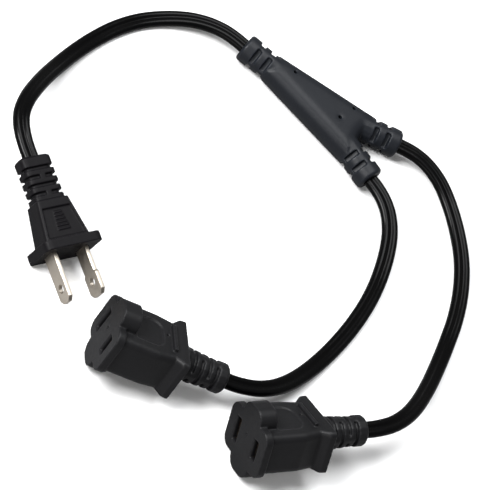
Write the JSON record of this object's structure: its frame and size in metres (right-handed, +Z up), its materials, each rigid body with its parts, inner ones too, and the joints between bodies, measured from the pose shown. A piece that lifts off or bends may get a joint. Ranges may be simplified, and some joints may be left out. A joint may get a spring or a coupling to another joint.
{
  "type": "power cord splitter",
  "caption": "Flat two-blade plug on a short flat twin cord that a Y-shaped moulding splits into two cords, each ending in a two-slot socket.",
  "frame": {"origin": "on the surface it lies on, under the middle of the footprint of the plug, the Y-moulding and the two sockets", "axes": "+Z up, +X from the sockets towards the Y-moulding, +Y towards the plug's side"},
  "size_m": [0.1763, 0.1766, 0.0278],
  "materials": {
    "moulding": "fine satin moulded vinyl, nearly black",
    "splitter": "fine satin moulded vinyl, blue-black",
    "jacket": "glossy extruded vinyl, black",
    "carrier": "hard moulded plastic, dark grey",
    "blade": "nickel-plated brass, lightly brushed",
    "contact": "stamped strip",
    "sleeve": "tinned",
    "copper": "bare stranded copper"
  },
  "bodies": {
    "root": {"plug_overmould": "moulding", "plug_blade_carrier": "carrier", "plug_blade_narrow": "blade", "plug_blade_wide": "blade", "socket_a_overmould": "moulding", "socket_a_contact_carrier": "carrier", "socket_a_contact_wide": "contact", "socket_a_contact_narrow": "contact", "socket_b_overmould": "moulding", "socket_b_contact_carrier": "carrier", "socket_b_contact_wide": "contact", "socket_b_contact_narrow": "contact", "splitter_overmould": "splitter", "splice_crimp_line": "sleeve", "splice_crimp_neutral": "sleeve", "supply_cord": "jacket", "supply_line_wire": "copper", "supply_neutral_wire": "copper", "branch_a_cord": "jacket", "branch_a_line_wire": "copper", "branch_a_neutral_wire": "copper", "branch_b_cord": "jacket", "branch_b_line_wire": "copper", "branch_b_neutral_wire": "copper"}
  },
  "joints": []
}
